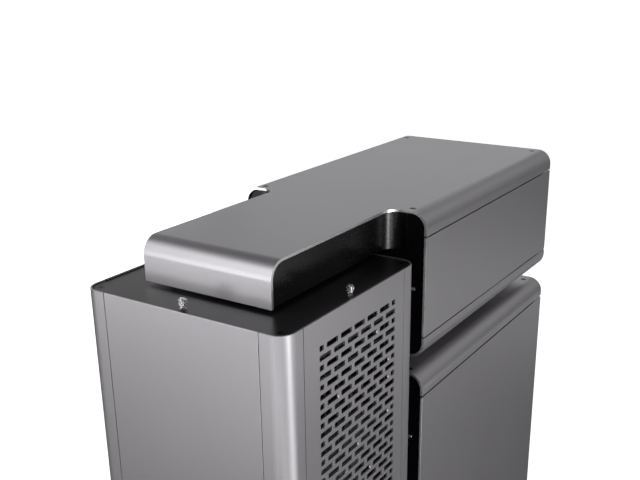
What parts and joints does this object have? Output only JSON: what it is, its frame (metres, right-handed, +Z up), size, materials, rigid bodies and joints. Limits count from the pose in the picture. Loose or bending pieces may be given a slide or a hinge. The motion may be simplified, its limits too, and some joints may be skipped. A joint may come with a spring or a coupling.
{
  "type": "computer case",
  "caption": "Full-tower computer case with a slotted front column joined by T-shaped aluminium covers to two separate chambers behind it, with panels that pull off and a glass door.",
  "frame": {"origin": "centre of the bounding box on the floor, under the feet", "axes": "+Z up, the front faces -Y, +X is the right-hand side as seen by a person facing the front"},
  "size_m": [0.2798, 0.688, 0.732],
  "materials": {
    "space_grey_aluminium": "bead-blasted and anodised space grey, satin",
    "black_steel": "black powder coat, semi-gloss",
    "tinted_glass": "dark tinted, polished",
    "bright_nickel": "nickel plated, polished",
    "brushed_button_metal": "turned",
    "black_plastic": "fine moulded texture",
    "black_rubber": "matt",
    "brass": "turned",
    "circuit_board": "green solder mask",
    "hinge_steel": "ground",
    "black_screw_steel": "black oxide"
  },
  "bodies": {
    "chassis": {"post_front_left": "space_grey_aluminium", "post_front_right": "space_grey_aluminium", "post_rear_left": "space_grey_aluminium", "post_rear_right": "space_grey_aluminium", "column_top_plate": "black_steel", "column_bottom_plate": "black_steel", "column_rear_plate": "space_grey_aluminium", "dust_filter": "black_plastic", "fan_bracket": "black_steel", "front_fan_frames": "black_plastic", "top_cover": "space_grey_aluminium", "upper_arm_frame": "black_steel", "arm_collars": "black_rubber", "io_board": "circuit_board", "upper_front_plate": "black_steel", "upper_rear_panel": "black_steel", "upper_bottom_shell": "space_grey_aluminium", "psu_bracket": "black_steel", "drive_cage": "black_steel", "drive_trays": "black_plastic", "chamber_bridge": "black_steel", "lower_top_shell": "space_grey_aluminium", "bottom_cover": "space_grey_aluminium", "lower_arm_frame": "black_steel", "lower_front_plate": "black_steel", "lower_rear_panel": "black_steel", "door_magnets": "bright_nickel", "door_hinge_pins": "hinge_steel", "motherboard_tray": "black_steel", "standoffs": "brass", "tray_grommets": "black_rubber", "ssd_sleds": "black_steel", "slot_covers": "black_steel", "rear_fan_frame": "black_plastic", "foot_bars": "space_grey_aluminium", "foot_pads": "black_rubber", "cover_screws": "black_screw_steel"},
    "column_front_panel": {"column_front_panel": "space_grey_aluminium", "column_front_tabs": "space_grey_aluminium"},
    "column_vent_panel": {"column_vent_panel": "space_grey_aluminium", "column_vent_tabs": "space_grey_aluminium"},
    "column_glass": {"column_glass": "tinted_glass", "column_glass_carriers": "black_steel"},
    "upper_side_panel": {"upper_side_panel": "space_grey_aluminium"},
    "upper_glass": {"upper_glass": "tinted_glass", "upper_glass_rails": "black_steel"},
    "lower_side_panel": {"lower_side_panel": "space_grey_aluminium"},
    "lower_glass_door": {"lower_glass_door": "tinted_glass", "door_strip": "black_steel", "door_hinge_leaves": "black_steel", "door_knob": "brushed_button_metal"},
    "thumbscrew_front": {"thumbscrew_front": "bright_nickel"},
    "thumbscrew_right": {"thumbscrew_right": "bright_nickel"},
    "thumbscrew_left": {"thumbscrew_left": "bright_nickel"},
    "front_fan_rotor_1": {"front_fan_rotor_1": "black_plastic"},
    "front_fan_rotor_2": {"front_fan_rotor_2": "black_plastic"},
    "front_fan_rotor_3": {"front_fan_rotor_3": "black_plastic"},
    "rear_fan_rotor": {"rear_fan_rotor": "black_plastic"},
    "power_button": {"power_button": "brushed_button_metal"},
    "reset_button": {"reset_button": "brushed_button_metal"}
  },
  "joints": [
    {"name": "column_front_panel_pull", "type": "slide", "parent": "chassis", "child": "column_front_panel", "axis": [0, -1, 0], "range_m": [0, 0.06]},
    {"name": "column_vent_panel_pull", "type": "slide", "parent": "chassis", "child": "column_vent_panel", "axis": [1, 0, 0], "range_m": [0, 0.06]},
    {"name": "column_glass_pull", "type": "slide", "parent": "chassis", "child": "column_glass", "axis": [-1, 0, 0], "range_m": [0, 0.06]},
    {"name": "upper_side_panel_pull", "type": "slide", "parent": "chassis", "child": "upper_side_panel", "axis": [1, 0, 0], "range_m": [0, 0.06]},
    {"name": "upper_glass_pull", "type": "slide", "parent": "chassis", "child": "upper_glass", "axis": [-1, 0, 0], "range_m": [0, 0.06]},
    {"name": "lower_side_panel_pull", "type": "slide", "parent": "chassis", "child": "lower_side_panel", "axis": [1, 0, 0], "range_m": [0, 0.06]},
    {"name": "lower_glass_door_hinge", "type": "hinge", "parent": "chassis", "child": "lower_glass_door", "pos_m": [-0.121, 0.336, 0.2775], "axis": [0, 0, -1], "range_deg": [0, 100]},
    {"name": "thumbscrew_front_lift", "type": "slide", "parent": "chassis", "child": "thumbscrew_front", "axis": [0, 0, 1], "range_m": [0, 0.005]},
    {"name": "thumbscrew_right_lift", "type": "slide", "parent": "chassis", "child": "thumbscrew_right", "axis": [0, 0, 1], "range_m": [0, 0.005]},
    {"name": "thumbscrew_left_lift", "type": "slide", "parent": "chassis", "child": "thumbscrew_left", "axis": [0, 0, 1], "range_m": [0, 0.005]},
    {"name": "front_fan_spin_1", "type": "hinge", "parent": "chassis", "child": "front_fan_rotor_1", "pos_m": [0.1117, -0.215, 0.235], "axis": [1, 0, 0], "continuous": true},
    {"name": "front_fan_spin_2", "type": "hinge", "parent": "chassis", "child": "front_fan_rotor_2", "pos_m": [0.1117, -0.215, 0.379], "axis": [1, 0, 0], "continuous": true},
    {"name": "front_fan_spin_3", "type": "hinge", "parent": "chassis", "child": "front_fan_rotor_3", "pos_m": [0.1117, -0.215, 0.523], "axis": [1, 0, 0], "continuous": true},
    {"name": "rear_fan_spin", "type": "hinge", "parent": "chassis", "child": "rear_fan_rotor", "pos_m": [-0.058, 0.31, 0.426], "axis": [0, 1, 0], "continuous": true},
    {"name": "power_button_press", "type": "slide", "parent": "chassis", "child": "power_button", "axis": [1, 0, 0], "range_m": [0, 0.0015], "stiffness_N_per_m": 400},
    {"name": "reset_button_press", "type": "slide", "parent": "chassis", "child": "reset_button", "axis": [1, 0, 0], "range_m": [0, 0.0015], "stiffness_N_per_m": 400}
  ]
}
